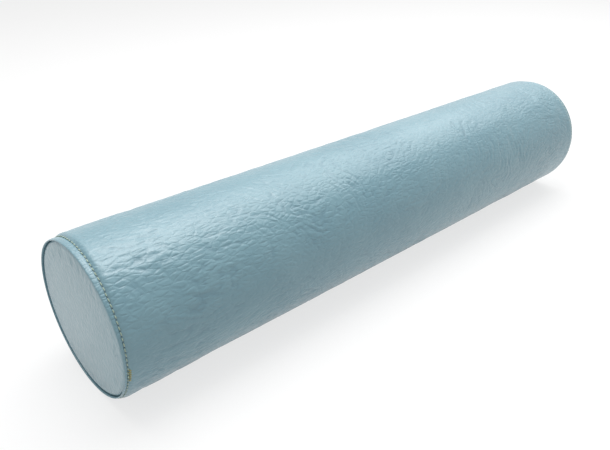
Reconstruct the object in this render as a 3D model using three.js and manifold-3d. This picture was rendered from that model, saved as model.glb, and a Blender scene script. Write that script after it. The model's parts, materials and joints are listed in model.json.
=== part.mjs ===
// A bolster roller: a foam core in a zipped vinyl cover with sewn-in end panels.
// Millimetres. +X runs along the roller and +Z is up.
// The origin is under the roller's middle, on the plane it rests on.
import * as THREE from "three";
import { mergeVertices } from "three/addons/utils/BufferGeometryUtils.js";
import Module from "manifold-3d";

const wasm = await Module();
wasm.setup();

// Overall sizes
const rollerLength = 700;
const rollerDiameter = 150;
const flatDepth = 1.5; // how far the underside is flattened where the roller rests
const coverThickness = 1.4;
const fitGap = 0.3; // between pieces that touch in the real roller
const joinDepth = 0.5; // how far two joined shapes run into each other
const cutPast = 1; // how far a cutting shape runs past what it cuts
const roundSegments = 72;

// Sewn ends
const panelRecess = 2.5; // the end panel's face lies this far inside the lip
const seamAllowance = 14; // how far the sleeve and the panel are turned in
const gatherDepth = 0.6; // how much the folded lip is pulled in by its seam
const stitchSetback = 6; // from the end of the lip to the row of top stitching
const shoulderLength = 16; // the sleeve falls towards the stitching over this length
const shoulderEase = 4; // the fall starts this far in from there
const valleyDepth = 1.1; // how far the sleeve falls
const valleyWidth = 2;
const lipSwell = 0.4; // how far the lip stands over the valley
const lipRoll = 2; // length of the lip's rolled edge
const panelEdgeRadius = 1;
const threadWidth = 0.8;
const threadThickness = 0.4;
const channelFloor = 0.9; // cover left under a row of stitching
const tackSetback = 8; // from the end of the lip to the middle of a bar tack
const tackWidth = 5;
const tackLength = 16;
const tackThickness = 1.1;
const tackAngle = 192; // degrees from the back, over the top, to the bar tacks low on the front

// Zip
const zipAngle = 24; // degrees above the middle of the back
const zipEndMargin = 60; // from each end of the roller to the zip's opening
const hemDepth = 11.25; // width of cover folded under beside the opening
const tapeThickness = 0.8;
const tapeWidth = 13.5;
const tapeOverrun = 5; // the tapes run on under the cover past each end of the opening
const coilWidth = 2.6;
const coilHeight = 2.2;
const coilSpacing = 1.6; // between the two coils, for the slider's neck
const stopLength = 3;
const stopSetback = 2; // from the end of the opening to a stop
const hemStitchSetback = 3; // from the edge of the opening to its row of stitching
const hemStitchOverrun = 8;
const endTackSetback = 2;
const endTackWidth = 3;
const endTackLength = 12;

// Slider and pull
const sliderLength = 12;
const plateThickness = 1.2;
const neckWidth = 1;
const neckLength = 3;
const flangeThickness = 0.9;
const sliderSetback = 2; // from the top stops to the closed slider
const sliderClearance = 0.4; // from each side of the slider to the edge of the opening
const earThickness = 1;
const earRadius = 1.8;
const pinRadius = 0.6;
const pinSetback = 5; // from the front of the slider to its pin
const eyeWall = 0.8;
const eyeLift = 0.4; // from the slider's plate to the pull's eye
const pullLength = 24;
const pullWidth = 5.5;
const pullThickness = 0.9;
const pullNeckLength = 4;
const pullNeckWidth = 2.6;
const pullRim = 1.4; // metal round the hole in the pull
const pullHoleLength = 6; // between the centres of the hole's round ends
const pullTilt = 5; // degrees that the resting pull dips towards the coils

// Sizes that follow
const halfLength = rollerLength / 2;
const outerRadius = rollerDiameter / 2;
const axisHeight = outerRadius - flatDepth;
const sleeveBore = outerRadius - coverThickness;
const hemBore = sleeveBore - coverThickness;
const lipBore = hemBore - gatherDepth;
const panelRadius = lipBore - fitGap;
const flangeBore = panelRadius - coverThickness;
const seamThreadRadius = flangeBore - fitGap;
const coreEndRadius = seamThreadRadius - threadThickness - fitGap;
const channelRadius = lipBore + channelFloor;
const rimThreadRadius = channelRadius + fitGap;
const tackRadius = rimThreadRadius + threadThickness + fitGap;
const valleyRadius = outerRadius - valleyDepth;

const tapeOuter = hemBore - fitGap;
const tapeInner = tapeOuter - tapeThickness;
const coilInner = tapeOuter + fitGap;
const coilOuter = coilInner + coilHeight;
const lowerPlateOuter = tapeInner - fitGap;
const lowerPlateInner = lowerPlateOuter - plateThickness;
const upperPlateInner = coilOuter + fitGap;
const upperPlateOuter = upperPlateInner + plateThickness;
const sliderWidth = 2 * (coilSpacing / 2 + coilWidth + fitGap + flangeThickness);
const slotWidth = sliderWidth + 2 * sliderClearance;
const hemReach = slotWidth / 2 + hemDepth;
const slotHalfLength = halfLength - zipEndMargin;
const hemEndX = slotHalfLength + hemDepth;
const stopOuterX = slotHalfLength - stopSetback;
const stopInnerX = stopOuterX - stopLength;
const coilHalfLength = stopInnerX - fitGap;
const sliderEndX = stopInnerX - sliderSetback;
const sliderStartX = sliderEndX - sliderLength;
const pinX = sliderEndX - pinSetback;
const eyeBore = pinRadius + fitGap;
const eyeRadius = eyeBore + eyeWall;
const pinHeight = upperPlateOuter + eyeLift + eyeRadius;
const earInnerY = pullNeckWidth / 2 + fitGap;

// Solids
function solidFrom(geometry) {
  const bare = geometry.clone();
  bare.deleteAttribute("normal");
  bare.deleteAttribute("uv");
  const merged = mergeVertices(bare, 1e-4);
  const index = merged.index.array;
  const triVerts = [];
  for (let i = 0; i < index.length; i += 3) {
    const [a, b, c] = [index[i], index[i + 1], index[i + 2]];
    if (a !== b && b !== c && c !== a) triVerts.push(a, b, c); // drops the slivers at a pole
  }
  const vertProperties = merged.attributes.position.array;
  return new wasm.Manifold(
    new wasm.Mesh({ numProp: 3, vertProperties, triVerts: new Uint32Array(triVerts) }),
  );
}

function geometryFrom(solid) {
  const { vertProperties, triVerts } = solid.getMesh();
  const geometry = new THREE.BufferGeometry();
  geometry.setAttribute("position", new THREE.BufferAttribute(new Float32Array(vertProperties), 3));
  geometry.setIndex(new THREE.BufferAttribute(new Uint32Array(triVerts), 1));
  geometry.computeVertexNormals();
  return geometry;
}

const toRadians = THREE.MathUtils.degToRad;
const unitX = new THREE.Vector3(1, 0, 0);
const unitY = new THREE.Vector3(0, 1, 0);
const unitZ = new THREE.Vector3(0, 0, 1);

// A turned piece: the outline holds radius and place along X, outer wall towards +X, about the roller's axis.
function turned(outline) {
  const lathe = new THREE.LatheGeometry(outline, roundSegments);
  return solidFrom(lathe.applyMatrix4(new THREE.Matrix4().makeBasis(unitZ, unitX, unitY)));
}

function cylinder(radius, fromX, toX) {
  return turned([
    new THREE.Vector2(0, fromX),
    new THREE.Vector2(radius, fromX),
    new THREE.Vector2(radius, toX),
    new THREE.Vector2(0, toX),
  ]);
}

// A thin band round the roller's axis, closed on itself.
function band(innerRadius, outerBandRadius, fromX, toX) {
  return turned([
    new THREE.Vector2(innerRadius, fromX),
    new THREE.Vector2(outerBandRadius, fromX),
    new THREE.Vector2(outerBandRadius, toX),
    new THREE.Vector2(innerRadius, toX),
    new THREE.Vector2(innerRadius, fromX),
  ]);
}

// A curved block that lies along the cover. Its width is measured round the cover from the top of its frame.
function coverBlock(innerRadius, blockRadius, fromWidth, toWidth, fromX, toX) {
  const startAngle = Math.PI / 2 - toWidth / outerRadius;
  const endAngle = Math.PI / 2 - fromWidth / outerRadius;
  const section = new THREE.Shape();
  section.absarc(0, 0, blockRadius, startAngle, endAngle, false);
  section.absarc(0, 0, innerRadius, endAngle, startAngle, true);
  const curveSegments = Math.ceil(((endAngle - startAngle) * roundSegments) / (2 * Math.PI)) + 1;
  const block = new THREE.ExtrudeGeometry(section, {
    depth: toX - fromX,
    bevelEnabled: false,
    curveSegments,
  });
  block.translate(0, 0, fromX);
  return solidFrom(block.applyMatrix4(new THREE.Matrix4().makeBasis(unitY, unitZ, unitX)));
}

// A flat outline in X and Z, given a width along Y and centred on Y = 0 before it is moved.
function sideCut(outline, width, centreY) {
  const cut = new THREE.ExtrudeGeometry(outline, { depth: width, bevelEnabled: false, curveSegments: 10 });
  cut.translate(0, 0, -width / 2);
  cut.applyMatrix4(new THREE.Matrix4().makeBasis(unitX, unitZ, unitY.clone().negate()));
  return solidFrom(cut.translate(0, centreY, 0));
}

// Takes away everything lower than a height over the resting plane.
function flattened(solid, height) {
  const depth = rollerDiameter;
  const below = new THREE.BoxGeometry(rollerLength * 2, rollerDiameter * 2, depth);
  below.translate(0, 0, height - axisHeight - depth / 2);
  return solid.subtract(solidFrom(below));
}

// Turns a solid made at the top of the roller round to an angle measured from the back.
function turnedTo(solid, angle) {
  return solid.rotate([angle - 90, 0, 0]);
}

// Outer outline of one end, from the middle to the axis, as radius and distance in from the end.
function endOutline() {
  const crestRadius = valleyRadius + lipSwell / 4;
  const path = new THREE.Path();
  path.moveTo(outerRadius, shoulderLength);
  path.quadraticCurveTo(
    outerRadius, shoulderLength - shoulderEase, valleyRadius, stitchSetback + valleyWidth / 2,
  );
  path.lineTo(valleyRadius, stitchSetback - valleyWidth / 2);
  path.quadraticCurveTo(valleyRadius + lipSwell, stitchSetback / 2, crestRadius, lipRoll);
  path.quadraticCurveTo(crestRadius, 0, (crestRadius + lipBore) / 2, 0);
  path.lineTo(0, 0);
  return path.getPoints(4);
}

function hemmedBody() {
  const outline = endOutline();
  const near = outline.map((p) => new THREE.Vector2(p.x, p.y - halfLength)).reverse();
  const far = outline.map((p) => new THREE.Vector2(p.x, halfLength - p.y));
  return turned([...near, ...far]);
}

function coverSleeve() {
  const hem = coverBlock(
    hemBore, outerRadius + cutPast, -hemReach, hemReach, -hemEndX, hemEndX,
  );
  const slot = coverBlock(
    lipBore - cutPast, outerRadius + cutPast,
    -slotWidth / 2, slotWidth / 2,
    -slotHalfLength, slotHalfLength,
  );
  const bore = cylinder(sleeveBore, seamAllowance - halfLength, halfLength - seamAllowance);
  const wideBore = flattened(bore, coverThickness).subtract(turnedTo(hem, zipAngle));
  let sleeve = flattened(hemmedBody(), 0)
    .subtract(cylinder(lipBore, -halfLength - cutPast, halfLength + cutPast))
    .subtract(wideBore)
    .subtract(turnedTo(slot, zipAngle));
  const channel = threadWidth / 2 + fitGap;
  for (const side of [-1, 1]) {
    const stitchX = side * (halfLength - stitchSetback);
    const tackX = side * (halfLength - tackSetback);
    const seatWidth = tackLength / 2 + fitGap;
    const seatReach = tackWidth / 2 + fitGap;
    const seat = coverBlock(
      tackRadius - fitGap, outerRadius + cutPast,
      -seatWidth, seatWidth,
      tackX - seatReach, tackX + seatReach,
    );
    sleeve = sleeve
      .subtract(band(channelRadius, outerRadius + cutPast, stitchX - channel, stitchX + channel))
      .subtract(turnedTo(seat, tackAngle))
      .subtract(turnedTo(hemStitch(side, fitGap), zipAngle))
      .subtract(turnedTo(endTack(side, fitGap), zipAngle));
  }
  return sleeve;
}

function foamCore() {
  const coreEnd = halfLength - panelRecess - coverThickness - fitGap;
  const wideEnd = halfLength - seamAllowance - fitGap;
  const coreRadius = sleeveBore - fitGap;
  const outline = [
    new THREE.Vector2(0, -coreEnd),
    new THREE.Vector2(coreEndRadius, -coreEnd),
    new THREE.Vector2(coreEndRadius, -wideEnd),
    new THREE.Vector2(coreRadius, -wideEnd),
    new THREE.Vector2(coreRadius, wideEnd),
    new THREE.Vector2(coreEndRadius, wideEnd),
    new THREE.Vector2(coreEndRadius, coreEnd),
    new THREE.Vector2(0, coreEnd),
  ];
  const recessReach = hemReach + fitGap;
  const recessX = hemEndX + fitGap;
  const recess = coverBlock(
    lowerPlateOuter, outerRadius + cutPast, -recessReach, recessReach, -recessX, recessX,
  );
  const channelReach = sliderWidth / 2 + fitGap;
  const channel = coverBlock(
    lowerPlateInner - fitGap, lowerPlateOuter + cutPast,
    -channelReach, channelReach,
    -slotHalfLength, slotHalfLength,
  );
  return flattened(turned(outline), coverThickness + fitGap)
    .subtract(turnedTo(recess, zipAngle))
    .subtract(turnedTo(channel, zipAngle));
}

// A shallow cup: the panel's face, and its seam allowance turned inwards.
function endPanel(side) {
  const path = new THREE.Path();
  path.moveTo(0, panelRecess);
  path.lineTo(panelRadius - panelEdgeRadius, panelRecess);
  path.absarc(
    panelRadius - panelEdgeRadius, panelRecess + panelEdgeRadius, panelEdgeRadius, -Math.PI / 2, 0, false,
  );
  path.lineTo(panelRadius, seamAllowance);
  path.lineTo(flangeBore, seamAllowance);
  path.lineTo(flangeBore, panelRecess + coverThickness);
  path.lineTo(0, panelRecess + coverThickness);
  const outline = path.getPoints(3).map((p) => new THREE.Vector2(p.x, p.y - halfLength));
  const panel = turned(outline);
  return side < 0 ? panel : panel.rotate([0, 0, 180]);
}

// Thread rows and tacks
function rimStitch(side) {
  const x = side * (halfLength - stitchSetback);
  return band(rimThreadRadius, rimThreadRadius + threadThickness, x - threadWidth / 2, x + threadWidth / 2);
}

function seamThread(side) {
  const x = side * (halfLength - stitchSetback);
  return band(seamThreadRadius - threadThickness, seamThreadRadius, x - threadWidth / 2, x + threadWidth / 2);
}

function barTack(side) {
  const x = side * (halfLength - tackSetback);
  return coverBlock(
    tackRadius, tackRadius + tackThickness,
    -tackLength / 2, tackLength / 2,
    x - tackWidth / 2, x + tackWidth / 2,
  );
}

// One row of stitching beside the opening. The allowance grows it into the channel that it lies in.
function hemStitch(side, allowance) {
  const width = side * (slotWidth / 2 + hemStitchSetback);
  const reach = threadWidth / 2 + allowance;
  const length = slotHalfLength + hemStitchOverrun + allowance;
  return coverBlock(
    outerRadius - threadThickness - allowance, outerRadius + allowance,
    width - reach, width + reach,
    -length, length,
  );
}

function endTack(side, allowance) {
  const x = side * (slotHalfLength + endTackSetback + endTackWidth / 2);
  const reach = endTackWidth / 2 + allowance;
  const width = endTackLength / 2 + allowance;
  return coverBlock(
    outerRadius - threadThickness - allowance, outerRadius + allowance,
    -width, width,
    x - reach, x + reach,
  );
}

// Zip pieces, in the zip's own frame: X along the roller, Y down the cover and Z out of it.
function zipTape(side) {
  const nearEdge = coilSpacing / 2;
  const edges = [side * nearEdge, side * (nearEdge + tapeWidth)].sort((a, b) => a - b);
  const length = slotHalfLength + tapeOverrun;
  return coverBlock(tapeInner, tapeOuter, edges[0], edges[1], -length, length);
}

function coilBlock(side, fromX, toX) {
  const nearEdge = coilSpacing / 2;
  const edges = [side * nearEdge, side * (nearEdge + coilWidth)].sort((a, b) => a - b);
  return coverBlock(coilInner, coilOuter, edges[0], edges[1], fromX, toX);
}

function bottomStop() {
  const reach = coilSpacing / 2 + coilWidth;
  return coverBlock(coilInner, coilOuter, -reach, reach, -stopOuterX, -stopInnerX);
}

function zipSlider() {
  const half = sliderWidth / 2;
  const upperPlate = coverBlock(upperPlateInner, upperPlateOuter, -half, half, sliderStartX, sliderEndX);
  const lowerPlate = coverBlock(lowerPlateInner, lowerPlateOuter, -half, half, sliderStartX, sliderEndX);
  const neckX = sliderEndX - neckLength;
  const neck = coverBlock(
    lowerPlateOuter - joinDepth, upperPlateInner + joinDepth,
    -neckWidth / 2, neckWidth / 2,
    neckX, sliderEndX,
  );
  let slider = upperPlate.add(lowerPlate).add(neck);
  const ear = new THREE.Shape();
  ear.moveTo(pinX - earRadius, upperPlateOuter - joinDepth);
  ear.lineTo(pinX + earRadius, upperPlateOuter - joinDepth);
  ear.lineTo(pinX + earRadius, pinHeight);
  ear.absarc(pinX, pinHeight, earRadius, 0, Math.PI, false);
  for (const side of [-1, 1]) {
    const edges = [side * half, side * (half - flangeThickness)].sort((a, b) => a - b);
    slider = slider
      .add(coverBlock(coilInner, upperPlateInner + joinDepth, edges[0], edges[1], sliderStartX, sliderEndX))
      .add(sideCut(ear, earThickness, side * (earInnerY + earThickness / 2)));
  }
  const pin = new THREE.Shape();
  pin.absarc(pinX, pinHeight, pinRadius, 0, 2 * Math.PI, false);
  return slider.add(sideCut(pin, 2 * earInnerY + earThickness, 0));
}

// The pull, made round its own pin: an eye, a narrow neck and a blade with an oval hole.
function zipPull() {
  const eye = new THREE.Shape();
  eye.absarc(0, 0, eyeRadius, 0, 2 * Math.PI, false);
  const neck = new THREE.Shape();
  neck.moveTo(-pullNeckLength - joinDepth, -pullThickness / 2);
  neck.lineTo(-eyeBore, -pullThickness / 2);
  neck.lineTo(-eyeBore, pullThickness / 2);
  neck.lineTo(-pullNeckLength - joinDepth, pullThickness / 2);
  const bore = new THREE.Shape();
  bore.absarc(0, 0, eyeBore, 0, 2 * Math.PI, false);
  const half = pullWidth / 2;
  const blade = new THREE.Shape();
  blade.moveTo(-pullNeckLength, -half);
  blade.lineTo(-pullNeckLength, half);
  blade.lineTo(half - pullLength, half);
  blade.absarc(half - pullLength, 0, half, Math.PI / 2, 1.5 * Math.PI, false);
  const hole = new THREE.Path();
  const holeRadius = half - pullRim;
  hole.absarc(half - pullLength, 0, holeRadius, Math.PI / 2, 1.5 * Math.PI, false);
  hole.absarc(half - pullLength + pullHoleLength, 0, holeRadius, -Math.PI / 2, Math.PI / 2, false);
  blade.holes.push(hole);
  const plate = new THREE.ExtrudeGeometry(blade, {
    depth: pullThickness,
    bevelEnabled: false,
    curveSegments: 8,
  });
  return sideCut(eye, pullNeckWidth, 0)
    .add(sideCut(neck, pullNeckWidth, 0))
    .add(solidFrom(plate.translate(0, 0, -pullThickness / 2)))
    .subtract(sideCut(bore, pullNeckWidth + cutPast, 0));
}

// Scene
const roller = new THREE.Group();
const axisFrame = new THREE.Group(); // on the roller's own axis
axisFrame.position.z = axisHeight;
const zipFrame = new THREE.Group(); // turned so that Z points out through the zip
zipFrame.rotation.x = toRadians(zipAngle - 90);
const tackFrame = new THREE.Group(); // turned so that Z points out through the bar tacks
tackFrame.rotation.x = toRadians(tackAngle - 90);
const pinFrame = new THREE.Group();
pinFrame.position.set(pinX, 0, pinHeight);
pinFrame.rotation.y = -toRadians(pullTilt);
roller.add(axisFrame);
axisFrame.add(zipFrame, tackFrame);
zipFrame.add(pinFrame);

const finishes = {
  vinyl: { color: 0xa3b8be, roughness: 0.42, metalness: 0 },
  panelVinyl: { color: 0xa9bcc2, roughness: 0.5, metalness: 0 },
  foam: { color: 0xe6dfc6, roughness: 0.95, metalness: 0 },
  thread: { color: 0xcfcdb4, roughness: 0.8, metalness: 0 },
  tape: { color: 0x8fa5ad, roughness: 0.9, metalness: 0 },
  coil: { color: 0xa4b4b9, roughness: 0.4, metalness: 0 },
  metal: { color: 0xb9bcc0, roughness: 0.3, metalness: 1 },
};

function place(frame, name, solid, finish) {
  const mesh = new THREE.Mesh(geometryFrom(solid), new THREE.MeshStandardMaterial(finishes[finish]));
  mesh.name = name;
  frame.add(mesh);
}

place(axisFrame, "foam_core", foamCore(), "foam");
place(axisFrame, "cover_sleeve", coverSleeve(), "vinyl");
for (const [end, side] of [["left", -1], ["right", 1]]) {
  place(axisFrame, "end_panel_" + end, endPanel(side), "panelVinyl");
  place(axisFrame, "rim_stitch_" + end, rimStitch(side), "thread");
  place(axisFrame, "seam_thread_" + end, seamThread(side), "thread");
  place(tackFrame, "bar_tack_" + end, barTack(side), "thread");
  place(zipFrame, "zip_end_tack_" + end, endTack(side, 0), "thread");
}
for (const [edge, side] of [["upper", -1], ["lower", 1]]) {
  place(zipFrame, "zip_tape_" + edge, zipTape(side), "tape");
  place(zipFrame, "zip_coil_" + edge, coilBlock(side, -coilHalfLength, coilHalfLength), "coil");
  place(zipFrame, "zip_top_stop_" + edge, coilBlock(side, stopInnerX, stopOuterX), "metal");
  place(zipFrame, "zip_stitch_" + edge, hemStitch(side, 0), "thread");
}
place(zipFrame, "zip_bottom_stop", bottomStop(), "metal");
place(zipFrame, "zip_slider", zipSlider(), "metal");
place(pinFrame, "zip_pull", zipPull(), "metal");

export default roller;
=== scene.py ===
import json
import math

import bmesh
import bpy
import numpy as np
from mathutils import Matrix, Vector


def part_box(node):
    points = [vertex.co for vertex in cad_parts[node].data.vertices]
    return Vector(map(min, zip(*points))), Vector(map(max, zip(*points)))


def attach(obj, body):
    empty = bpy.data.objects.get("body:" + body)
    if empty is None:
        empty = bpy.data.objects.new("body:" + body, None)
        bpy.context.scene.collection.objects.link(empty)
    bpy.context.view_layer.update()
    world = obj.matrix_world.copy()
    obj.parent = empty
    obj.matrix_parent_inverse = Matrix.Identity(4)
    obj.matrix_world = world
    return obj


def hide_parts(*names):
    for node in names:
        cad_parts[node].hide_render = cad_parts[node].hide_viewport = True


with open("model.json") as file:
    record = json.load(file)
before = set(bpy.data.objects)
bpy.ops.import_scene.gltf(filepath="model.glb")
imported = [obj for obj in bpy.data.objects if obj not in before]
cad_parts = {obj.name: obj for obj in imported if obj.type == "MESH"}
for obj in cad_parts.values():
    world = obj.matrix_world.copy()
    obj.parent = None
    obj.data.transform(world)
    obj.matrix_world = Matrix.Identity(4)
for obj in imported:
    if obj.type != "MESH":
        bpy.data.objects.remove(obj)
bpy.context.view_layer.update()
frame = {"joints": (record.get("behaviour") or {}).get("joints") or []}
mm = 0.001
fullTurn = 2 * math.pi

# the roller's own sizes, from the frame
sleeveLow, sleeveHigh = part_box("cover_sleeve")
halfLength = sleeveHigh.x
radius = (sleeveHigh.y - sleeveLow.y) / 2
axisHeight = sleeveHigh.z - radius
panelLow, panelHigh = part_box("end_panel_left")
panelRecess = panelLow.x + halfLength
panelRadius = (panelHigh.y - panelLow.y) / 2
seamAllowance = panelHigh.x + halfLength
rimLow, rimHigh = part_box("rim_stitch_left")
stitchSetback = (rimLow.x + rimHigh.x) / 2 + halfLength
stitchRing = (rimHigh.y - rimLow.y) / 2
pullJoint = next(j for j in frame["joints"] if j["name"] == "pull_swing")
pinPlace = Vector(pullJoint["pos_m"])
zipAngle = math.atan2(pinPlace.z - axisHeight, pinPlace.y)  # from the back, over the top

# the zip's opening starts this far from each end, as it does in the CAD
zipEndMargin = 60 * mm
slotEnd = halfLength - zipEndMargin


def newObject(name, mesh):
    piece = bpy.data.objects.new(name, mesh)
    bpy.context.scene.collection.objects.link(piece)
    return piece


def finishMesh(name, bm, smooth=True):
    mesh = bpy.data.meshes.new(name)
    bm.to_mesh(mesh)
    bm.free()
    mesh.polygons.foreach_set("use_smooth", [smooth] * len(mesh.polygons))
    return newObject(name, mesh)


def settle(piece, body, node):
    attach(piece, body)
    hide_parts(node)


def getPoints(mesh):
    flat = np.empty(len(mesh.vertices) * 3)
    mesh.vertices.foreach_get("co", flat)
    return flat.reshape(-1, 3)


def setPoints(mesh, points):
    mesh.vertices.foreach_set("co", points.ravel())
    mesh.update()


def addAttribute(mesh, name, values):
    layer = mesh.attributes.new(name, "FLOAT", "POINT")
    layer.data.foreach_set("value", np.asarray(values, np.float32))


def smoothStep(low, high, value):
    t = np.clip((value - low) / (high - low), 0, 1)
    return t * t * (3 - 2 * t)


def spread(start, end, count):
    return list(np.linspace(start, end, count, endpoint=False))


def aroundRoller(points):
    height = points[:, 2] - axisHeight
    return np.hypot(points[:, 1], height), np.arctan2(height, points[:, 1])


def onRoller(x, ring, angle):
    return np.stack([x, ring * np.cos(angle), axisHeight + ring * np.sin(angle)], axis=1)


# the left end isn't cut quite square, so every piece there leans by one rule
endLean = dict(reach=0.12, inset=1.2 * mm, perHeight=0.0225, perBack=-0.052)


def leaned(points):
    weight = smoothStep(halfLength - endLean["reach"], halfLength, -points[:, 0])
    slant = (points[:, 2] - axisHeight) * endLean["perHeight"] + points[:, 1] * endLean["perBack"]
    out = points.copy()
    out[:, 0] += weight * (slant + endLean["inset"])
    return out


# crushed grain of the vinyl, as a height field that is laid over the cover and the panels
grain = dict(
    cell=1.0 * mm, span=2.1 * halfLength, slowSize=0.19, wobbleSize=34 * mm, wobble=0.24, seed=11,
    drift=0.10, calm=0.18, swirl=0.75, swirlMiddle=0.03, swirlNear=0.10, swirlFar=0.30,
    folds=dict(spacing=7 * mm, stretch=60 * mm, width=0.40, depth=0.40 * mm, bare=0.30),
    creases=dict(spacing=3.3 * mm, stretch=26 * mm, width=0.70, depth=0.31 * mm, bare=0.62),
)


def bandNoise(shape, size, band, rng):
    fa = np.fft.fftfreq(shape[0], grain["cell"])[:, None]
    fb = np.fft.fftfreq(shape[1], grain["cell"])[None, :]
    kept = np.exp(-(((np.hypot(fa, fb) * size - 1) / band) ** 2))
    waves = np.fft.ifft2(np.fft.fft2(rng.standard_normal(shape)) * kept).real
    return waves / waves.std()


def readField(field, rows, cols):
    r0 = np.floor(rows).astype(int)
    c0 = np.floor(cols).astype(int)
    fr, fc = rows - r0, cols - c0
    a, b = field.shape
    r1, c1 = (r0 + 1) % a, (c0 + 1) % b
    r0, c0 = r0 % a, c0 % b
    near = field[r0, c0] * (1 - fc) + field[r0, c1] * fc
    far = field[r1, c0] * (1 - fc) + field[r1, c1] * fc
    return near * (1 - fr) + far * fr


def smeared(field, along, across, length):
    # drags the waves along a flow, so that they become long wavy lines
    rows, cols = np.meshgrid(np.arange(field.shape[0]), np.arange(field.shape[1]), indexing="ij")
    count = int(length / 2 / grain["cell"])
    total = field.copy()
    for sign in (1, -1):
        r, c = rows.astype(float), cols.astype(float)
        for _ in range(count):
            u, v = readField(along, r, c), readField(across, r, c)
            r, c = r + sign * u, c + sign * v
            total += readField(field, r, c)
    return total / total.std()


def creasedField(shape, flow, rng):
    height = np.zeros(shape)
    for layer in (grain["folds"], grain["creases"]):
        turned = flow + grain["wobble"] * bandNoise(shape, grain["wobbleSize"], 0.6, rng)
        raw = bandNoise(shape, layer["spacing"] * 2, 0.45, rng)
        waves = smeared(raw, np.cos(turned), np.sin(turned), layer["stretch"])
        patches = bandNoise(shape, layer["stretch"] * 1.5, 0.6, rng)
        strength = np.clip(layer["bare"] + 0.5 + 0.45 * patches, 0.12, 1.4)
        valley = np.exp(-(np.abs(waves) / layer["width"]) ** 1.3)
        height -= layer["depth"] * strength * (valley - valley.mean())
    return height


def sleeveGrain():
    rng = np.random.default_rng(grain["seed"])
    shape = (round(grain["span"] / grain["cell"]), round(fullTurn * radius / grain["cell"]))
    place = (np.arange(shape[0]) / shape[0] - 0.5)[:, None] * grain["span"]
    turn = bandNoise(shape, grain["slowSize"], 0.7, rng)
    middle = smoothStep(grain["swirlFar"], grain["swirlNear"], np.abs(place - grain["swirlMiddle"]))
    flow = turn * (grain["calm"] + grain["swirl"] * middle) + grain["drift"]
    return creasedField(shape, flow, rng)


print("grain of the vinyl")
sleeveField = sleeveGrain()


def grainAt(x, angle):
    rows = (x / grain["span"] + 0.5) * sleeveField.shape[0]
    cols = angle / fullTurn * sleeveField.shape[1]
    return readField(sleeveField, rows, cols)


# slow swelling of the stuffed cover between its seams, from cloth under pressure
swell = dict(around=96, along=110, pressure=4.0, slack=0.002, frames=20, most=1.2 * mm, share=0.4)


def spunWall(bm, outline, steps, startAngle):
    start = Vector((0, math.cos(startAngle), math.sin(startAngle)))
    verts = [bm.verts.new(Vector((x, 0, axisHeight)) + start * ring) for x, ring in outline]
    edges = [bm.edges.new(pair) for pair in zip(verts, verts[1:])]
    bmesh.ops.spin(
        bm, geom=verts + edges, cent=(0, 0, axisHeight), axis=(1, 0, 0),
        angle=fullTurn, steps=steps, use_merge=True,
    )
    bmesh.ops.remove_doubles(bm, verts=bm.verts, dist=1e-6)


def clothSwell():
    across = swell["along"]
    shape = (across + 1, swell["around"])
    reach = halfLength - stitchSetback
    bm = bmesh.new()
    spunWall(bm, [(-reach, radius), (reach, radius)], swell["around"], zipAngle)
    long = [e for e in bm.edges if abs(e.verts[0].co.x - e.verts[1].co.x) > reach]
    bmesh.ops.subdivide_edges(bm, edges=long, cuts=across - 1, use_grid_fill=True)
    bmesh.ops.recalc_face_normals(bm, faces=bm.faces)
    trial = finishMesh("swell_trial", bm)
    before = getPoints(trial.data)
    ring, angle = aroundRoller(before)
    rows = np.rint((before[:, 0] + reach) / (2 * reach) * across).astype(int)
    cols = np.rint((angle - zipAngle) / fullTurn * swell["around"]).astype(int) % swell["around"]
    held = (rows == 0) | (rows == across)
    held |= (cols == 0) & (np.abs(before[:, 0]) < slotEnd)
    group = trial.vertex_groups.new(name="held")
    group.add([int(i) for i in np.nonzero(held)[0]], 1.0, "REPLACE")
    cloth = trial.modifiers.new("cloth", "CLOTH")
    facts = cloth.settings
    facts.quality = 5
    facts.mass = 0.3
    facts.tension_stiffness = facts.compression_stiffness = 30
    facts.shear_stiffness = 10
    facts.bending_stiffness = 2
    facts.use_pressure = True
    facts.uniform_pressure_force = swell["pressure"]
    facts.shrink_min = facts.shrink_max = -swell["slack"]
    facts.vertex_group_mass = "held"
    facts.effector_weights.gravity = 0
    cloth.point_cache.frame_end = swell["frames"]
    scene = bpy.context.scene
    for step in range(1, swell["frames"] + 1):
        scene.frame_set(step)
    after = trial.evaluated_get(bpy.context.evaluated_depsgraph_get()).data
    moved = aroundRoller(getPoints(after))[0] - ring
    field = np.zeros(shape)
    field[rows, cols] = moved - np.median(moved)
    scene.frame_set(1)
    bpy.data.objects.remove(trial)
    print("swell of the cover, mm", np.round(field.min() / mm, 2), np.round(field.max() / mm, 2))
    return swell["share"] * np.clip(field, -swell["most"], swell["most"])


print("cloth")
swellField = clothSwell()


def swellAt(x, angle):
    reach = halfLength - stitchSetback
    rows = np.clip((x / reach + 1) / 2, 0, 0.9999) * swell["along"]
    cols = (angle - zipAngle) / fullTurn * swell["around"]
    return readField(swellField, rows, cols)


# the sleeve of the cover
cover = dict(
    around=470, cell=1.05 * mm, thickness=1.4 * mm, shoulder=10 * mm, pillow=0.25 * mm,
    rowRing=73.1 * mm, lipRing=72.9 * mm, crestDepth=1.2 * mm, lipRoll=1.6 * mm,
    rowBulge=0.25 * mm, panelGap=0.3 * mm, slotCells=5, hemCells=16, hemReach=11 * mm, hemDrop=2.2 * mm,
    stitches=100, pucker=0.3 * mm, tuck=0.45 * mm, tuckWidth=1.5 * mm, wanderUp=1.8 * mm, wanderBack=2.0 * mm,
    grainFrom=72.0 * mm, grainFull=72.8 * mm, slotFlat=5 * mm, creaseDepth=0.25 * mm,
)
# how the grain and the swelling fade out near the stitching and the zip
fade = dict(
    endStart=1 * mm, endFull=14 * mm, endLeast=0.22, slotStart=1 * mm, slotFull=12 * mm, slotLeast=0.15,
    swellEnd=20 * mm, swellSlot=8 * mm,
)


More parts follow.
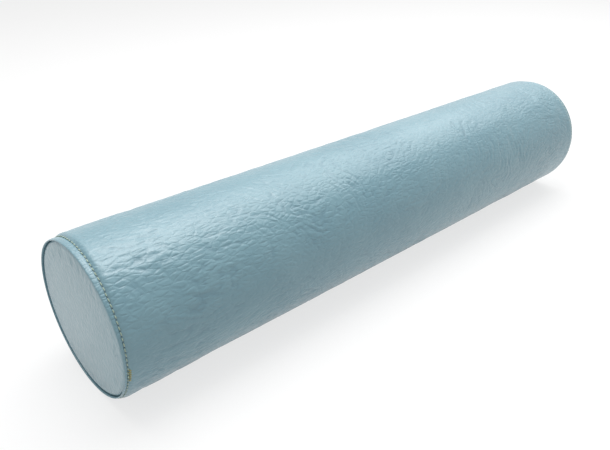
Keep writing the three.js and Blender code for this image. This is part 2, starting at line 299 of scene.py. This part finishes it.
def endOutline():
    # outer outline of one end, from the wall over the lip to its inside, as depth and ring
    row, lip, roll = cover["rowRing"], cover["lipRing"], cover["lipRoll"]
    crest = cover["crestDepth"]
    points = []
    for part in spread(0, 1, 14):
        depth = stitchSetback + cover["shoulder"] * (1 - part)
        fall = 1 - math.sqrt(max(0, 1 - part ** 2.2))
        pillow = cover["pillow"] * math.sin(math.pi * part) ** 2
        points.append((depth, radius + (row - radius) * fall + pillow))
    for part in spread(0, 1, 4):
        depth = stitchSetback + (crest + roll - stitchSetback) * part
        points.append((depth, row + (lip - row) * part + cover["rowBulge"] * math.sin(math.pi * part)))
    for turn in spread(0, math.pi / 2, 5):
        points.append((crest + roll * (1 - math.sin(turn)), lip - roll * 0.5 * (1 - math.cos(turn))))
    inner = panelRadius + cover["panelGap"]
    top = lip - roll * 0.5
    for turn in spread(0, math.pi / 2, 3):
        points.append((crest + 0.5 * mm * (1 - math.cos(turn)), top - (top - inner) * math.sin(turn)))
    points += [(crest + 1.2 * mm, inner), (panelRecess + 1.5 * mm, inner), (seamAllowance, inner)]
    return points


def cutLong(bm, fromX, toX, cell):
    # cuts the long edges between two rings into cells
    long = [e for e in bm.edges if sorted((round(e.verts[0].co.x, 6), round(e.verts[1].co.x, 6)))
            == [round(fromX, 6), round(toX, 6)]]
    outer = [e for e in long if math.hypot(e.verts[0].co.y, e.verts[0].co.z - axisHeight) > radius - 0.1 * mm]
    cuts = round((toX - fromX) / cell) - 1
    bmesh.ops.subdivide_edges(bm, edges=outer, cuts=cuts, use_grid_fill=True)


def zipTurn(angle):
    return math.remainder(angle - zipAngle, fullTurn)


def ringOf(point):
    return math.hypot(point.y, point.z - axisHeight)


def angleOf(point):
    return math.atan2(point.z - axisHeight, point.y)


def borderOf(faces):
    inside = set(faces)
    return [e for f in faces for e in f.edges if sum(1 for g in e.link_faces if g in inside) == 1]


def foldIn(bm, edges, drop, tuck):
    # carries the edge of the opening down below the cover and a little back under it
    made = bmesh.ops.extrude_edge_only(bm, edges=edges)["geom"]
    for v in (g for g in made if isinstance(g, bmesh.types.BMVert)):
        angle = angleOf(v.co) + math.copysign(tuck / radius, zipTurn(angleOf(v.co)))
        ring = radius - drop
        v.co = Vector((v.co.x, ring * math.cos(angle), axisHeight + ring * math.sin(angle)))
    return [g for g in made if isinstance(g, bmesh.types.BMEdge)]


def makeSleeve():
    wallEnd = halfLength - stitchSetback - cover["shoulder"]
    end = endOutline()
    bore = radius - cover["thickness"]
    hemEnd = slotEnd + cover["hemReach"]
    loop = [(x, radius) for x in (-slotEnd, slotEnd)] + [(halfLength - depth, ring) for depth, ring in end]
    loop += [(x, bore) for x in (halfLength - seamAllowance, hemEnd, -hemEnd, seamAllowance - halfLength)]
    loop += [(depth - halfLength, ring) for depth, ring in reversed(end)]
    bm = bmesh.new()
    spunWall(bm, loop + loop[:1], cover["around"], zipAngle)
    for fromX, toX in ((-wallEnd, -slotEnd), (-slotEnd, slotEnd), (slotEnd, wallEnd)):
        cutLong(bm, fromX, toX, cover["cell"])
    cell = fullTurn / cover["around"]
    outer, inner = [], []
    for face in bm.faces:
        middle = face.calc_center_median()
        if abs(middle.x) > hemEnd:
            continue
        turn, ring = abs(zipTurn(angleOf(middle))), ringOf(middle)
        if ring > radius - 0.5 * mm and turn < cover["slotCells"] * cell and abs(middle.x) < slotEnd:
            outer.append(face)
        elif ring < radius - 1 * mm and turn < cover["hemCells"] * cell:
            inner.append(face)
    hem, innerEdges = borderOf(outer), borderOf(inner)
    bmesh.ops.delete(bm, geom=outer + inner, context="FACES")
    for drop, tuck in ((0.3 * mm, 0.0), (0.9 * mm, 0.1 * mm), (cover["hemDrop"], 0.3 * mm)):
        hem = foldIn(bm, hem, drop, tuck)
    bmesh.ops.bridge_loops(bm, edges=hem + innerEdges)
    bmesh.ops.recalc_face_normals(bm, faces=bm.faces)
    return finishMesh("cover_sleeve_vinyl", bm)


def rowWander(angle):
    # the stitching lies deeper at the top and the back than it does at the front and underneath
    return cover["wanderUp"] * np.sin(angle) + cover["wanderBack"] * np.cos(angle)


def shapeSleeve(piece):
    points = getPoints(piece.data)
    ring, angle = aroundRoller(points)
    x = points[:, 0]
    depth = halfLength - np.abs(x)
    lipZone = depth < stitchSetback + cover["shoulder"]
    onLip = smoothStep(cover["grainFrom"], cover["grainFull"], ring)
    outside = np.where(lipZone, onLip, ring > radius - 0.1 * mm)
    fromZip = np.abs(np.remainder(angle - zipAngle + math.pi, fullTurn) - math.pi) * radius
    fromSlot = np.maximum(fromZip - cover["slotFlat"], np.abs(x) - slotEnd)
    fromRow = depth - stitchSetback
    atEnd = smoothStep(fade["endStart"], fade["endFull"], fromRow)
    atSlot = smoothStep(fade["slotStart"], fade["slotFull"], fromSlot)
    weight = outside * (fade["endLeast"] + (1 - fade["endLeast"]) * atEnd)
    weight = weight * (fade["slotLeast"] + (1 - fade["slotLeast"]) * atSlot)
    grainHeight = grainAt(x, angle) * weight
    away = smoothStep(0, fade["swellEnd"], fromRow) * smoothStep(0, fade["swellSlot"], fromSlot)
    height = grainHeight + swellAt(x, angle) * outside * away
    pucker = 0.5 + 0.5 * np.cos(angle * cover["stitches"])
    nearStitch = np.exp(-((fromRow / cover["tuckWidth"]) ** 2))
    height -= outside * (cover["tuck"] + cover["pucker"] * pucker) * nearStitch
    nearRow = smoothStep(2 * mm, stitchSetback, depth) * smoothStep(14 * mm, 0, fromRow) * outside
    moved = onRoller(x - np.sign(x) * rowWander(angle) * nearRow, ring + height, angle)
    lowest = np.clip(radius - ring, 0, cover["thickness"])
    moved[:, 2] = np.maximum(moved[:, 2], lowest)
    setPoints(piece.data, leaned(moved))
    # crease is the depth of the grain's valleys; the finish paints shade into them from it
    addAttribute(piece.data, "crease", np.clip(-grainHeight / cover["creaseDepth"], -1, 1.5))
    addAttribute(piece.data, "fromRow", fromRow / mm)


print("sleeve")
sleeve = makeSleeve()
shapeSleeve(sleeve)
settle(sleeve, "roll", "cover_sleeve")
print("sleeve faces", len(sleeve.data.polygons))

# the end panels, cups of vinyl sewn in behind the lip and pushed out a little by the foam
panelFacts = dict(
    around=250, rings=46, edgeDepth=4.9 * mm, faceDepth=1.9 * mm, edgeRound=5 * mm, dome=0.7 * mm,
    grain=1.2, grainFrom=60 * mm, creaseDepth=0.3 * mm,
)


def panelOutline():
    points = []
    count = panelFacts["rings"]
    flat = panelRadius - panelFacts["edgeRound"]
    face, edge = panelFacts["faceDepth"], panelFacts["edgeDepth"]
    for k in range(count + 1):
        ring = flat * k / count
        points.append((face - panelFacts["dome"] * (1 - (ring / flat) ** 2), ring))
    for turn in spread(0.12, math.pi / 2, 8) + [math.pi / 2]:
        ring = flat + panelFacts["edgeRound"] * math.sin(turn)
        points.append((face + (edge - face) * (1 - math.cos(turn)), ring))
    inner = panelRadius - cover["thickness"]
    points += [(seamAllowance, panelRadius), (seamAllowance, inner), (edge + 2 * mm, inner)]
    points += [(face + cover["thickness"] + 0.3 * mm, flat - 2 * mm), (face + cover["thickness"], 0)]
    return points


def makePanel(side):
    bm = bmesh.new()
    outline = [(side * (halfLength - depth), ring) for depth, ring in panelOutline()]
    spunWall(bm, outline, panelFacts["around"], zipAngle)
    bmesh.ops.recalc_face_normals(bm, faces=bm.faces)
    return bm


def shapePanel(piece, side, field):
    points = getPoints(piece.data)
    depth = halfLength - side * points[:, 0]
    ring, angle = aroundRoller(points)
    rows = (points[:, 2] - axisHeight) / grain["cell"]
    cols = points[:, 1] / grain["cell"]
    height = readField(field, rows, cols) * panelFacts["grain"]
    outside = depth < panelFacts["edgeDepth"] + 0.1 * mm
    outside &= depth < panelFacts["faceDepth"] + 1.2 * mm + (ring - panelFacts["grainFrom"]) * 0.4
    weight = outside * smoothStep(panelRadius - 1 * mm, panelRadius - 9 * mm, ring)
    points[:, 0] += side * height * weight
    setPoints(piece.data, leaned(points) if side < 0 else points)
    # crease is the depth of the panel's grain valleys; the finish paints shade into them from it
    addAttribute(piece.data, "crease", np.clip(-height * weight / panelFacts["creaseDepth"], -1, 1.5))


def panelGrain():
    rng = np.random.default_rng(grain["seed"] + 5)
    shape = (128, 128)
    flow = bandNoise(shape, 0.09, 0.7, rng) * 0.35
    return creasedField(shape, flow, rng)


print("end panels")
panelField = panelGrain()
panels = []
for side, name in ((-1, "left"), (1, "right")):
    panel = finishMesh("end_panel_" + name + "_vinyl", makePanel(side))
    shapePanel(panel, side, panelField)
    settle(panel, "roll", "end_panel_" + name)
    panels.append(panel)


# pieces that keep the shape of their CAD node
def copyOf(node, name, lean=False):
    bm = bmesh.new()
    bm.from_mesh(bpy.data.objects[node].data)
    bmesh.ops.remove_doubles(bm, verts=bm.verts, dist=1e-6)
    bmesh.ops.dissolve_limit(bm, angle_limit=math.radians(1), verts=bm.verts, edges=bm.edges)
    piece = finishMesh(name, bm, smooth=False)
    if lean:
        setPoints(piece.data, leaned(getPoints(piece.data)))
    return piece


def softened(piece, width, segments=2, angle=35):
    bevel = piece.modifiers.new("edges", "BEVEL")
    bevel.width = width
    bevel.segments = segments
    bevel.limit_method = "ANGLE"
    bevel.angle_limit = math.radians(angle)
    bevel.use_clamp_overlap = True
    bevel.harden_normals = False
    piece.data.polygons.foreach_set("use_smooth", [True] * len(piece.data.polygons))
    normals = piece.modifiers.new("normals", "WEIGHTED_NORMAL")
    normals.keep_sharp = True


print("core")
core = copyOf("foam_core", "foam_core_block", lean=True)
settle(core, "roll", "foam_core")
innerThreads = []
for name in ("left", "right"):
    thread = copyOf("seam_thread_" + name, "seam_thread_" + name + "_row", lean=True)
    settle(thread, "roll", "seam_thread_" + name)
    innerThreads.append(thread)

# threads
stitch = dict(length=3.3 * mm, width=1.0 * mm, height=0.8 * mm, lift=0.05 * mm)
tack = dict(
    loops=6, span=15 * mm, length=6.8 * mm, width=2.5 * mm, height=1.5 * mm, slant=0.5, shift=1.2 * mm,
)
hemStitch = dict(pitch=3.2 * mm, length=2.5 * mm, width=0.8 * mm, height=0.6 * mm, sink=0.15 * mm, slant=0.08)
endTack = dict(
    loops=9, span=11.5 * mm, length=1.1 * mm, width=3.2 * mm, height=0.9 * mm, sink=0.1 * mm, slant=0.12,
)


def strandAt(bm, x, ring, angle, size, slant=0.0, sides=8, bands=5):
    # a rounded strand on the roller; size is its length round the roller, its width along it and its height
    out = Vector((0, math.cos(angle), math.sin(angle)))
    tangent = Vector((0, -math.sin(angle), math.cos(angle)))
    axis = Vector((1, 0, 0))
    run = tangent * math.cos(slant) + axis * math.sin(slant)
    side = run.cross(out)
    turn = Matrix((side, out, run)).transposed().to_4x4()
    place = Matrix.Translation(Vector((x, 0, axisHeight)) + out * ring)
    length, width, height = size
    scale = Matrix.Diagonal((width, height, length, 1))
    matrix = place @ turn @ scale
    bmesh.ops.create_uvsphere(bm, u_segments=sides, v_segments=bands, radius=0.5, matrix=matrix)


def repeated(piece, count, step):
    array = piece.modifiers.new("repeats", "ARRAY")
    array.count = count
    array.use_relative_offset = False
    array.use_constant_offset = True
    array.constant_offset_displace = (step, 0, 0)


def endRow(side):
    bm = bmesh.new()
    rng = np.random.default_rng(40 + side)
    size = (stitch["length"], stitch["width"], stitch["height"])
    for k in range(cover["stitches"]):
        angle = (k + 0.5) * fullTurn / cover["stitches"]
        x = side * (halfLength - stitchSetback - rowWander(angle)) + rng.normal(0, 0.12 * mm)
        strandAt(bm, x, stitchRing - stitch["lift"], angle, size, slant=rng.normal(0.08, 0.05))
    return bm


def barTack(low, high):
    bm = bmesh.new()
    middle = (low + high) / 2
    size = (tack["length"], tack["width"], tack["height"])
    for k in range(tack["loops"]):
        turn = angleOf(middle) + ((k + 0.5) / tack["loops"] - 0.5) * tack["span"] / radius
        x = middle.x + math.copysign(tack["shift"], middle.x)
        strandAt(bm, x, ringOf(middle), turn, size, slant=math.pi / 2 - tack["slant"])
    return bm


print("threads")
threadPieces, tackPieces = [], []
for side, name in ((-1, "left"), (1, "right")):
    row = finishMesh("rim_stitch_" + name + "_row", endRow(side))
    low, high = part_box("bar_tack_" + name)
    loops = finishMesh("bar_tack_" + name + "_loops", barTack(low, high))
    for piece in (row, loops):
        if side < 0:
            setPoints(piece.data, leaned(getPoints(piece.data)))
    settle(row, "roll", "rim_stitch_" + name)
    settle(loops, "roll", "bar_tack_" + name)
    threadPieces.append(row)
    tackPieces.append(loops)


for name in ("upper", "lower"):
    node = "zip_stitch_" + name
    low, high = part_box(node)
    bm = bmesh.new()
    count = round((high.x - low.x) / hemStitch["pitch"])
    step = (high.x - low.x) / count
    size = (hemStitch["length"], hemStitch["width"], hemStitch["height"])
    turn = angleOf((low + high) / 2)
    ring = radius - hemStitch["sink"]
    strandAt(bm, low.x + step / 2, ring, turn, size, slant=math.pi / 2 - hemStitch["slant"])
    row = finishMesh(node + "_row", bm)
    repeated(row, count, step)
    settle(row, "roll", node)
    threadPieces.append(row)

for name in ("left", "right"):
    node = "zip_end_tack_" + name
    low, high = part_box(node)
    bm = bmesh.new()
    middle = (low + high) / 2
    size = (endTack["length"], endTack["width"], endTack["height"])
    for k in range(endTack["loops"]):
        part = (k + 0.5) / endTack["loops"] - 0.5
        turn = angleOf(middle) + part * endTack["span"] / radius
        strandAt(bm, middle.x, radius - endTack["sink"], turn, size, slant=endTack["slant"])
    loops = finishMesh(node + "_loops", bm)
    settle(loops, "roll", node)
    threadPieces.append(loops)

# zip
zipFacts = dict(
    pitch=1.75 * mm, toothLength=1.15 * mm, toothReach=3.2 * mm, toothHeight=2.1 * mm,
    ring=73.3 * mm, fromMiddle=0.62 * mm, slant=0.10,  # the slider's neck runs between the two rows
)


def coilTeeth(node, side):
    low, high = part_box(node)
    bm = bmesh.new()
    count = round((high.x - low.x) / zipFacts["pitch"])
    reach = zipFacts["toothReach"]
    turn = zipAngle - side * (zipFacts["fromMiddle"] + reach / 2) / radius
    step = (high.x - low.x) / count
    size = (reach, zipFacts["toothLength"], zipFacts["toothHeight"])
    strandAt(bm, low.x + step / 2, zipFacts["ring"], turn, size, slant=zipFacts["slant"] * side)
    coil = finishMesh(node + "_teeth", bm)
    repeated(coil, count, step)
    return coil


print("zip")
coils = []
for name, side in (("upper", -1), ("lower", 1)):
    coil = coilTeeth("zip_coil_" + name, side)
    settle(coil, "roll", "zip_coil_" + name)
    coils.append(coil)
metalPieces = []
for node, body, width in (
    ("zip_top_stop_upper", "roll", 0.3 * mm),
    ("zip_top_stop_lower", "roll", 0.3 * mm),
    ("zip_bottom_stop", "roll", 0.3 * mm),
    ("zip_slider", "slider", 0.25 * mm),
    ("zip_pull", "pull", 0.2 * mm),
):
    piece = copyOf(node, node + "_metal")
    softened(piece, width)
    settle(piece, body, node)
    metalPieces.append(piece)


# finishes
# shade, in both vinyls, is painted shade that the finish mixes into the bottoms of the creases
vinylFacts = dict(
    colour=(0.124, 0.241, 0.290, 1), paintedCreaseShade=(0.066, 0.150, 0.200, 1),
    pale=(0.150, 0.273, 0.320, 1), rough=0.38,
)
panelFinish = dict(
    colour=(0.170, 0.290, 0.335, 1), paintedCreaseShade=(0.120, 0.222, 0.265, 1),
    pale=(0.205, 0.330, 0.372, 1), rough=0.38,
)


class Finish:
    def __init__(self, name):
        self.material = bpy.data.materials.new(name)
        self.material.use_nodes = True
        self.tree = self.material.node_tree
        self.shader = self.tree.nodes["Principled BSDF"]
        self.place = self.node("ShaderNodeTexCoord").outputs["Object"]

    def node(self, kind):
        return self.tree.nodes.new(kind)

    def feed(self, socket, value):
        if isinstance(value, bpy.types.NodeSocket):
            self.tree.links.new(value, socket)
        else:
            socket.default_value = value

    def scaled(self, scale):
        mapping = self.node("ShaderNodeMapping")
        self.feed(mapping.inputs["Vector"], self.place)
        mapping.inputs["Scale"].default_value = scale
        return mapping.outputs["Vector"]

    def noise(self, scale, detail=3, rough=0.5, stretch=(1, 1, 1)):
        made = self.node("ShaderNodeTexNoise")
        self.feed(made.inputs["Vector"], self.scaled(stretch))
        made.inputs["Scale"].default_value = scale
        made.inputs["Detail"].default_value = detail
        made.inputs["Roughness"].default_value = rough
        return made.outputs["Fac"]

    def cells(self, scale, stretch=(1, 1, 1), feature="F1"):
        made = self.node("ShaderNodeTexVoronoi")
        made.feature = feature
        self.feed(made.inputs["Vector"], self.scaled(stretch))
        made.inputs["Scale"].default_value = scale
        return made.outputs["Distance"]

    def sum(self, a, b, kind="ADD"):
        made = self.node("ShaderNodeMath")
        made.operation = kind
        self.feed(made.inputs[0], a)
        self.feed(made.inputs[1], b)
        return made.outputs[0]

    def between(self, value, low, high, start=0.0, end=1.0):
        made = self.node("ShaderNodeMapRange")
        self.feed(made.inputs["Value"], value)
        made.inputs["From Min"].default_value = low
        made.inputs["From Max"].default_value = high
        made.inputs["To Min"].default_value = start
        made.inputs["To Max"].default_value = end
        return made.outputs["Result"]

    def mixed(self, part, first, second):
        made = self.node("ShaderNodeMix")
        made.data_type = "RGBA"
        self.feed(made.inputs["Factor"], part)
        self.feed(made.inputs[6], first)
        self.feed(made.inputs[7], second)
        return made.outputs[2]

    def attribute(self, name):
        made = self.node("ShaderNodeAttribute")
        made.attribute_name = name
        return made.outputs["Fac"]

    def bumped(self, height, distance, strength=1.0, under=None):
        made = self.node("ShaderNodeBump")
        made.inputs["Distance"].default_value = distance
        made.inputs["Strength"].default_value = strength
        self.feed(made.inputs["Height"], height)
        if under is not None:
            self.feed(made.inputs["Normal"], under)
        return made.outputs["Normal"]

    def finish(self, colour=None, rough=None, normal=None):
        for socket, value in (("Base Color", colour), ("Roughness", rough), ("Normal", normal)):
            if value is not None:
                self.feed(self.shader.inputs[socket], value)
        return self.material


def vinylMaterial(name, facts, wrinkleStretch, paintHoleShade):
    f = Finish(name)
    crease = f.attribute("crease")
    cloud = f.noise(9, detail=4, rough=0.6)
    colour = f.mixed(f.between(cloud, 0.35, 0.65), facts["colour"], facts["pale"])
    # painted shade: the colour darkens towards the shade colour in the deepest creases
    colour = f.mixed(f.between(crease, 0.25, 1.3, 0.0, 0.28), colour, facts["paintedCreaseShade"])
    wrinkles = f.noise(260, detail=4, rough=0.65, stretch=wrinkleStretch)
    lines = f.cells(230, stretch=wrinkleStretch, feature="DISTANCE_TO_EDGE")
    pores = f.cells(1500)
    rough = f.between(wrinkles, 0.3, 0.7, facts["rough"] - 0.05, facts["rough"] + 0.09)
    # painted shade of the needle holes: spots once per stitch, right at the row, go almost black
    if paintHoleShade:
        turned = f.node("ShaderNodeSeparateXYZ")
        f.feed(turned.inputs[0], f.place)
        height = f.sum(turned.outputs["Z"], axisHeight, "SUBTRACT")
        angle = f.sum(height, turned.outputs["Y"], "ARCTAN2")
        wave = f.sum(f.sum(angle, cover["stitches"], "MULTIPLY"), 0.0, "COSINE")
        between = f.between(wave, 0.78, 0.99)
        near = f.between(f.sum(f.attribute("fromRow"), 0.0, "ABSOLUTE"), 0.3, 0.9, 1.0, 0.0)
        holeShadeMask = f.sum(between, near, "MULTIPLY")
        colour = f.mixed(holeShadeMask, colour, (0.030, 0.060, 0.070, 1))
    f.shader.inputs["Coat Weight"].default_value = 0.45
    f.shader.inputs["Coat Roughness"].default_value = 0.24
    normal = f.bumped(f.between(lines, 0.0, 0.22), 0.32 * mm, 0.8)
    normal = f.bumped(wrinkles, 0.35 * mm, 0.55, under=normal)
    normal = f.bumped(f.between(pores, 0.0, 0.4), 0.03 * mm, 0.35, under=normal)
    return f.finish(colour, rough, normal)


def threadMaterial(name, colour, dark):
    f = Finish(name)
    twist = f.node("ShaderNodeTexWave")
    twist.bands_direction = "DIAGONAL"
    f.feed(twist.inputs["Vector"], f.scaled((1, 1, 1)))
    twist.inputs["Scale"].default_value = 900
    twist.inputs["Distortion"].default_value = 1.5
    fuzz = f.noise(1800, detail=2)
    part = f.sum(twist.outputs["Fac"], fuzz, "MULTIPLY")
    normal = f.bumped(twist.outputs["Fac"], 0.12 * mm, 0.7)
    f.shader.inputs["Sheen Weight"].default_value = 0.15
    f.shader.inputs["Roughness"].default_value = 0.75
    return f.finish(f.mixed(f.between(part, 0.05, 0.5), dark, colour), None, normal)


def tapeMaterial():
    f = Finish("zip_tape_weave")
    turned = f.node("ShaderNodeMapping")
    f.feed(turned.inputs["Vector"], f.place)
    turned.inputs["Rotation"].default_value = (-zipAngle, 0, 0)
    waves = []
    for direction in ("X", "Y"):
        wave = f.node("ShaderNodeTexWave")
        wave.bands_direction = direction
        f.feed(wave.inputs["Vector"], turned.outputs["Vector"])
        wave.inputs["Scale"].default_value = 420
        wave.inputs["Distortion"].default_value = 0.6
        waves.append(wave.outputs["Fac"])
    weave = f.sum(waves[0], waves[1], "MULTIPLY")
    f.shader.inputs["Roughness"].default_value = 0.8
    colour = f.mixed(weave, (0.055, 0.098, 0.120, 1), (0.120, 0.195, 0.228, 1))
    return f.finish(colour, None, f.bumped(weave, 0.25 * mm, 0.8))


def coilMaterial():
    f = Finish("zip_coil_nylon")
    f.shader.inputs["Roughness"].default_value = 0.33
    f.shader.inputs["Subsurface Weight"].default_value = 0.05
    cloud = f.noise(700, detail=3)
    colour = f.mixed(cloud, (0.150, 0.235, 0.270, 1), (0.235, 0.330, 0.365, 1))
    return f.finish(colour, None, f.bumped(cloud, 0.05 * mm, 0.4))


def metalMaterial():
    f = Finish("zip_nickel")
    f.shader.inputs["Metallic"].default_value = 1
    brushed = f.noise(900, detail=3, stretch=(0.12, 1, 1))
    worn = f.noise(160, detail=4, rough=0.6)
    colour = f.mixed(f.between(worn, 0.35, 0.7), (0.60, 0.60, 0.60, 1), (0.74, 0.73, 0.71, 1))
    rough = f.between(brushed, 0.3, 0.7, 0.20, 0.34)
    return f.finish(colour, rough, f.bumped(brushed, 0.02 * mm, 0.5))


def foamMaterial():
    f = Finish("core_foam")
    pore = f.cells(650)
    f.shader.inputs["Roughness"].default_value = 0.9
    colour = f.mixed(f.between(pore, 0.1, 0.6), (0.42, 0.36, 0.22, 1), (0.66, 0.61, 0.43, 1))
    return f.finish(colour, None, f.bumped(pore, 0.5 * mm, 0.8))


def dress(pieces, material):
    for piece in pieces:
        piece.data.materials.clear()
        piece.data.materials.append(material)


print("finishes")
dress([sleeve], vinylMaterial("cover_vinyl", vinylFacts, (0.45, 1, 1), paintHoleShade=True))
dress(panels, vinylMaterial("panel_vinyl", panelFinish, (1, 1, 0.45), paintHoleShade=False))
sewing = threadMaterial("sewing_thread", colour=(0.50, 0.60, 0.47, 1), dark=(0.26, 0.34, 0.26, 1))
# the tack thread is a darker, yellower copy of the sewing thread; its darkness is painted shade for the bar
# tacks, which sit low at the front of the ends
shadedTackThread = threadMaterial("tack_thread", colour=(0.40, 0.38, 0.15, 1), dark=(0.16, 0.15, 0.05, 1))
dress(threadPieces + innerThreads, sewing)
dress(tackPieces, shadedTackThread)
dress(coils, coilMaterial())
dress(metalPieces, metalMaterial())
dress([core], foamMaterial())
dress([bpy.data.objects[name] for name in ("zip_tape_upper", "zip_tape_lower")], tapeMaterial())

# floor, lights and camera
stageFacts = dict(size=14.0, paper=0.80, white=0.72)


def whiteToCamera(nodes, links):
    # 1 for rays from the camera, from gloss and from glass
    path = nodes.new("ShaderNodeLightPath")
    seen = path.outputs["Is Camera Ray"]
    for kind in ("Is Glossy Ray", "Is Transmission Ray"):
        most = nodes.new("ShaderNodeMath")
        most.operation = "MAXIMUM"
        links.new(seen, most.inputs[0])
        links.new(path.outputs[kind], most.inputs[1])
        seen = most.outputs[0]
    return seen


def makeFloor():
    bm = bmesh.new()
    bmesh.ops.create_grid(bm, x_segments=1, y_segments=1, size=stageFacts["size"] / 2)
    floor = finishMesh("floor", bm, smooth=False)
    material = bpy.data.materials.new("floor_paper")
    material.use_nodes = True
    nodes, links = material.node_tree.nodes, material.node_tree.links
    paper = nodes["Principled BSDF"]
    paper.inputs["Base Color"].default_value = (stageFacts["paper"],) * 3 + (1,)
    paper.inputs["Roughness"].default_value = 0.95
    white = nodes.new("ShaderNodeEmission")
    part = nodes.new("ShaderNodeMath")
    part.operation = "MULTIPLY"
    part.inputs[1].default_value = stageFacts["white"]
    mix = nodes.new("ShaderNodeMixShader")
    links.new(whiteToCamera(nodes, links), part.inputs[0])
    links.new(part.outputs[0], mix.inputs["Fac"])
    links.new(paper.outputs[0], mix.inputs[1])
    links.new(white.outputs[0], mix.inputs[2])
    links.new(mix.outputs[0], nodes["Material Output"].inputs["Surface"])
    floor.data.materials.append(material)


lamps = {
    "softbox": dict(place=(0.85, 0.29, 1.30), turn=(-10, 0, 0), size=(2.3, 1.60), power=23),
    "overhead": dict(place=(-0.1, 0.22, 1.5), turn=(-8, 0, 0), size=(1.2, 0.9), power=14),
    "left": dict(place=(-1.8, 0.5, 0.9), turn=(0, -65, -10), size=(1.2, 1.2), power=2.5),
}
worldFacts = dict(ambient=0.50)


def makeLamp(name, facts):
    light = bpy.data.lights.new(name, "AREA")
    light.shape = "RECTANGLE"
    light.size, light.size_y = facts["size"]
    light.energy = facts["power"]
    lamp = bpy.data.objects.new(name, light)
    bpy.context.scene.collection.objects.link(lamp)
    lamp.location = facts["place"]
    lamp.rotation_euler = [math.radians(part) for part in facts["turn"]]


def makeWorld():
    world = bpy.data.worlds.new("world")
    world.use_nodes = True
    nodes, links = world.node_tree.nodes, world.node_tree.links
    back = nodes["Background"]
    back.inputs["Color"].default_value = (1, 1, 1, 1)
    level = nodes.new("ShaderNodeMapRange")
    level.inputs["To Min"].default_value = worldFacts["ambient"]
    level.inputs["To Max"].default_value = 1
    links.new(whiteToCamera(nodes, links), level.inputs["Value"])
    links.new(level.outputs["Result"], back.inputs["Strength"])
    bpy.context.scene.world = world


camera = dict(lens=34.6, place=(-0.4609, -0.4194, 0.3149), yaw=0.7159, pitch=0.5167)


def makeCamera():
    data = bpy.data.cameras.new("camera")
    data.lens = camera["lens"]
    data.sensor_width = 36
    data.clip_start = 0.01
    eye = bpy.data.objects.new("camera", data)
    bpy.context.scene.collection.objects.link(eye)
    x, y, z = camera["place"]
    heading = Matrix.Rotation(-camera["yaw"], 4, "Z") @ Matrix.Rotation(math.pi / 2 - camera["pitch"], 4, "X")
    eye.matrix_world = Matrix.Translation((x, y, z + axisHeight)) @ heading
    bpy.context.scene.camera = eye


print("stage")
makeFloor()
for name, facts in lamps.items():
    makeLamp(name, facts)
makeWorld()
makeCamera()
bpy.context.scene.view_settings.view_transform = "Standard"
